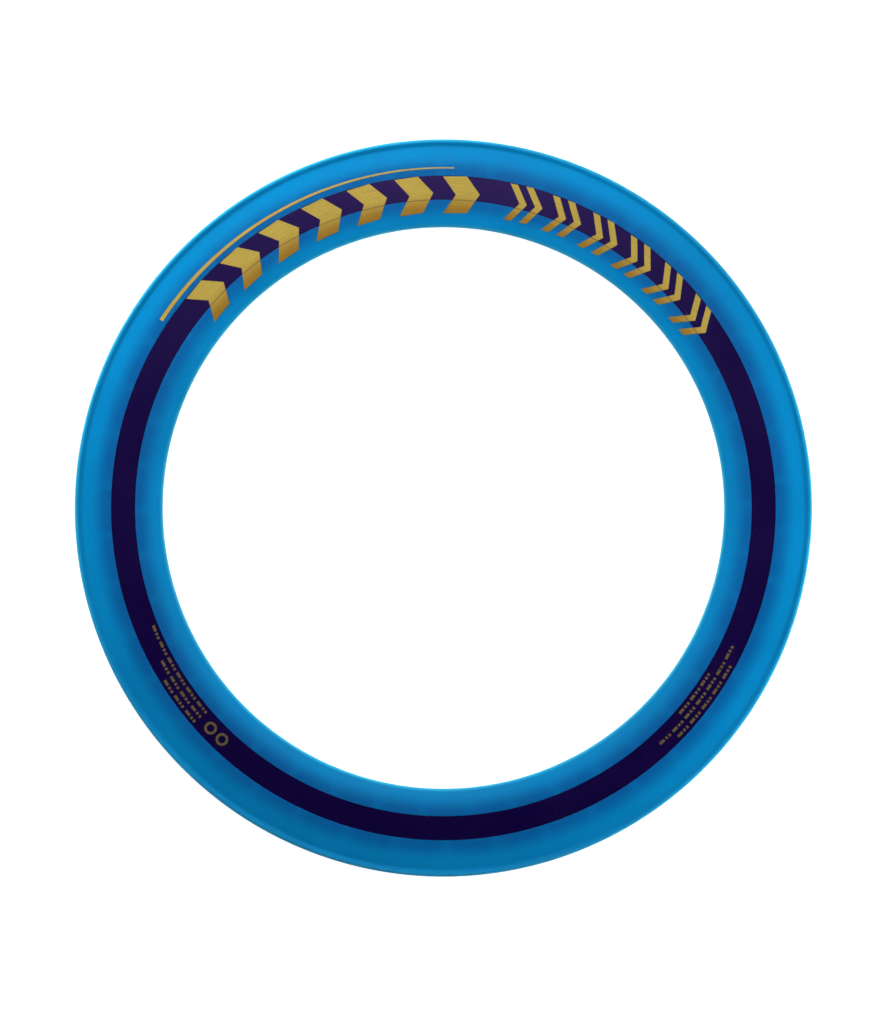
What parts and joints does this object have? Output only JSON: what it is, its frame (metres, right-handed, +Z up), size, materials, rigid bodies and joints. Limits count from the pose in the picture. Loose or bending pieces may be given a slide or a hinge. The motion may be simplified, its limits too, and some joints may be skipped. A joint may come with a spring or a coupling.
{
  "type": "flying ring",
  "caption": "Thin open flying ring with a rigid core band between two soft rims, a raised lip at the outer edge and stamped gold marks on top.",
  "frame": {"origin": "centre of the ring, on the surface that it lies on", "axes": "+Z up through the hole, out of the printed top face; +Y towards the gap between the two large groups of gold marks"},
  "size_m": [0.254, 0.254, 0.0033],
  "materials": {
    "core_plastic": "gloss",
    "soft_rim": "satin",
    "gold_foil": "satin",
    "fine_foil": "satin"
  },
  "bodies": {
    "root": {"core_ring": "core_plastic", "outer_rim": "soft_rim", "inner_rim": "soft_rim", "foil_bold_chevrons": "gold_foil", "foil_line_chevrons": "gold_foil", "foil_pinstripe": "gold_foil", "foil_fine_marks_left": "fine_foil", "foil_fine_marks_right": "fine_foil", "foil_eyelets": "fine_foil"}
  },
  "joints": []
}
